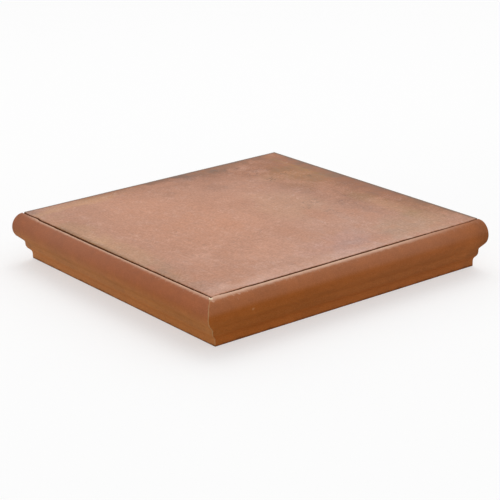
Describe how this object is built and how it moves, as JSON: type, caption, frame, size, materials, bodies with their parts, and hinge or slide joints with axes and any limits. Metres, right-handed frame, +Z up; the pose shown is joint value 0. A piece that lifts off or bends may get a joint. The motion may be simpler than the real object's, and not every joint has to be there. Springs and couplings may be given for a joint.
{
  "type": "corner stair tread tile",
  "caption": "Square fired-clay stair tread for an outside corner: a flat tile seated in two mitred nosing strips with a round nose over a soft stepped moulding.",
  "frame": {"origin": "centre of the square footprint, at the level of the nosing's foot", "axes": "+Z up out of the tread; the front nosing faces -Y and the left nosing faces -X, so the plain edges face +X and +Y"},
  "size_m": [0.33, 0.33, 0.05],
  "materials": {
    "tread_clay": "flashed fired clay with a satin fired skin, pinkish tan",
    "nosing_clay": "fired clay with a thin glossier orange-brown skin"
  },
  "bodies": {
    "root": {"tread_tile": "tread_clay", "nosing_front": "nosing_clay", "nosing_left": "nosing_clay"}
  },
  "joints": []
}
